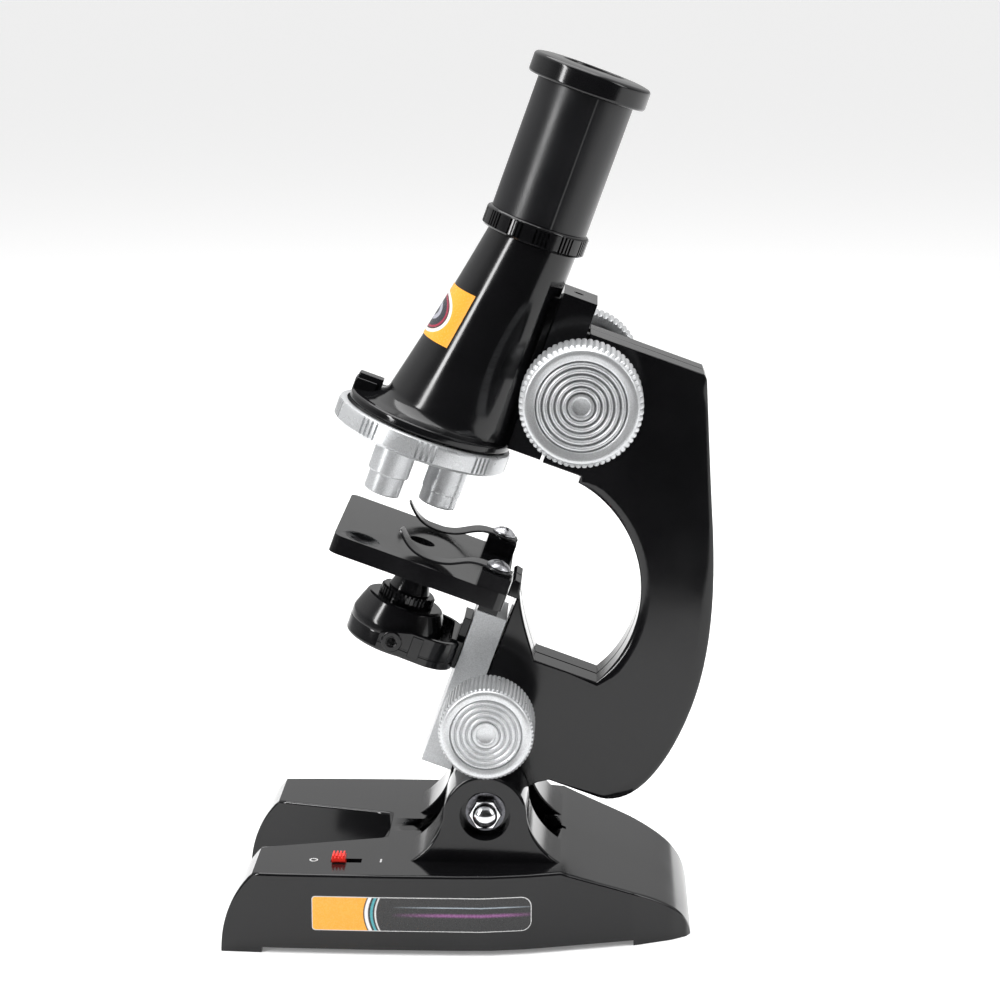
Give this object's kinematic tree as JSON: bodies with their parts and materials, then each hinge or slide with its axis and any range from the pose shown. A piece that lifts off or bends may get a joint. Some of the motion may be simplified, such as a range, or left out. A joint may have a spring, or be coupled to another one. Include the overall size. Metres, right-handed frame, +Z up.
{
  "type": "toy microscope",
  "caption": "Upright toy compound microscope with an inclined arm on a forked base, rack focus, rotating objective turret, sliding stage with clips and a tilting lamp.",
  "frame": {"origin": "centre of the bounding box at rest, on the surface the base stands on", "axes": "+Z up, +X from the open end of the base to the user's end behind the arm, +Y to the far side of the pictured view"},
  "size_m": [0.1135, 0.0693, 0.2049],
  "materials": {
    "black_plastic": "glossy moulded ABS",
    "silver_plastic": "silver painted moulding, satin gloss",
    "silver_turret": "silver painted moulding",
    "steel": "bright plated steel",
    "clip_steel": "blackened spring steel, glossy",
    "lens": "clear",
    "red_plastic": "glossy",
    "orange_label": "printed film",
    "dark_plastic": "inner moulding",
    "natural_plastic": "acetal, unpainted",
    "battery_jacket": "printed sleeve",
    "spring_brass": "sprung strip",
    "mirror": "silvered",
    "bulb": "clear bulb"
  },
  "bodies": {
    "base": {"base_shell": "black_plastic", "base_plate": "black_plastic", "base_screws": "steel", "battery_door": "black_plastic", "battery_door_screw": "steel", "battery_cells": "battery_jacket", "battery_contacts": "steel", "switch_body": "dark_plastic", "base_label": "orange_label", "hinge_bolt": "steel", "hinge_nut": "steel", "hinge_washers": "steel"},
    "switch": {"switch_slider": "red_plastic"},
    "arm": {"arm_shell_near": "black_plastic", "arm_shell_far": "black_plastic", "arm_screws": "steel"},
    "focus_drive": {"focus_shaft": "steel", "focus_pinion": "natural_plastic", "focus_knob_near": "silver_plastic", "focus_knob_far": "silver_plastic"},
    "carriage": {"carriage": "black_plastic", "focus_rack": "natural_plastic", "body_cone": "black_plastic", "cone_label": "orange_label", "turret_screw": "steel", "turret_detent": "spring_brass", "field_lens": "lens"},
    "eyepiece": {"draw_tube": "black_plastic", "eyepiece_collar": "black_plastic", "eyepiece_cap": "black_plastic", "eye_lens": "lens"},
    "turret": {"turret_disc": "silver_turret", "objective_low": "silver_turret", "objective_mid": "silver_turret", "objective_high": "silver_turret", "objective_lenses": "lens"},
    "stage": {"stage_plate": "black_plastic", "stage_bracket": "silver_plastic", "stage_rack": "natural_plastic", "stage_screws": "steel", "clip_screws": "steel", "lamp_fork": "black_plastic", "fork_screw": "steel"},
    "clip_near": {"clip_near": "clip_steel"},
    "clip_far": {"clip_far": "clip_steel"},
    "stage_drive": {"stage_shaft": "steel", "stage_pinion": "natural_plastic", "stage_knob_near": "silver_plastic", "stage_knob_far": "silver_plastic"},
    "lamp": {"lamp_housing": "black_plastic", "lamp_pivots": "black_plastic", "lamp_bulb": "bulb", "lamp_mirror": "mirror"},
    "condenser": {"lamp_collar": "black_plastic", "lamp_nose": "black_plastic"}
  },
  "joints": [
    {"name": "arm_tilt", "type": "hinge", "parent": "base", "child": "arm", "pos_m": [0.004, 0, 0.0306], "axis": [0, 1, 0], "range_deg": [-19.8, 15]},
    {"name": "switch_slide", "type": "slide", "parent": "base", "child": "switch", "axis": [1, 0, 0], "range_m": [0, 0.003]},
    {"name": "focus_slide", "type": "slide", "parent": "arm", "child": "carriage", "axis": [0.3387, 0, 0.9409], "range_m": [-0.0025, 0.009]},
    {"name": "focus_spin", "type": "hinge", "parent": "arm", "child": "focus_drive", "pos_m": [0.02568, 0, 0.12801], "axis": [0, 1, 0], "range_deg": [-37, 130]},
    {"name": "eyepiece_draw", "type": "slide", "parent": "carriage", "child": "eyepiece", "axis": [0.3387, 0, 0.9409], "range_m": [0, 0.018]},
    {"name": "turret_spin", "type": "hinge", "parent": "carriage", "child": "turret", "pos_m": [-0.01171, 0, 0.11597], "axis": [0.3387, 0, 0.9409], "continuous": true},
    {"name": "stage_slide", "type": "slide", "parent": "arm", "child": "stage", "axis": [0.3387, 0, 0.9409], "range_m": [-0.008, 0.0015]},
    {"name": "stage_spin", "type": "hinge", "parent": "arm", "child": "stage_drive", "pos_m": [0.00459, 0, 0.0526], "axis": [0, 1, 0], "range_deg": [-116, 23]},
    {"name": "clip_near_swing", "type": "hinge", "parent": "stage", "child": "clip_near", "pos_m": [0.00682, -0.017, 0.08772], "axis": [0.3387, 0, 0.9409], "range_deg": [-18, 18]},
    {"name": "clip_far_swing", "type": "hinge", "parent": "stage", "child": "clip_far", "pos_m": [0.00682, 0.017, 0.08772], "axis": [0.3387, 0, 0.9409], "range_deg": [-18, 18]},
    {"name": "lamp_tilt", "type": "hinge", "parent": "stage", "child": "lamp", "pos_m": [-0.0183, 0, 0.06903], "axis": [0, 1, 0], "range_deg": [-25, 25]},
    {"name": "condenser_spin", "type": "hinge", "parent": "lamp", "child": "condenser", "pos_m": [-0.01512, 0, 0.07787], "axis": [0.3387, 0, 0.9409], "continuous": true}
  ],
  "couplings": [
    {"joint": "focus_spin", "follows": "focus_slide", "rad_per_m": 250},
    {"joint": "stage_spin", "follows": "stage_slide", "rad_per_m": 250}
  ]
}
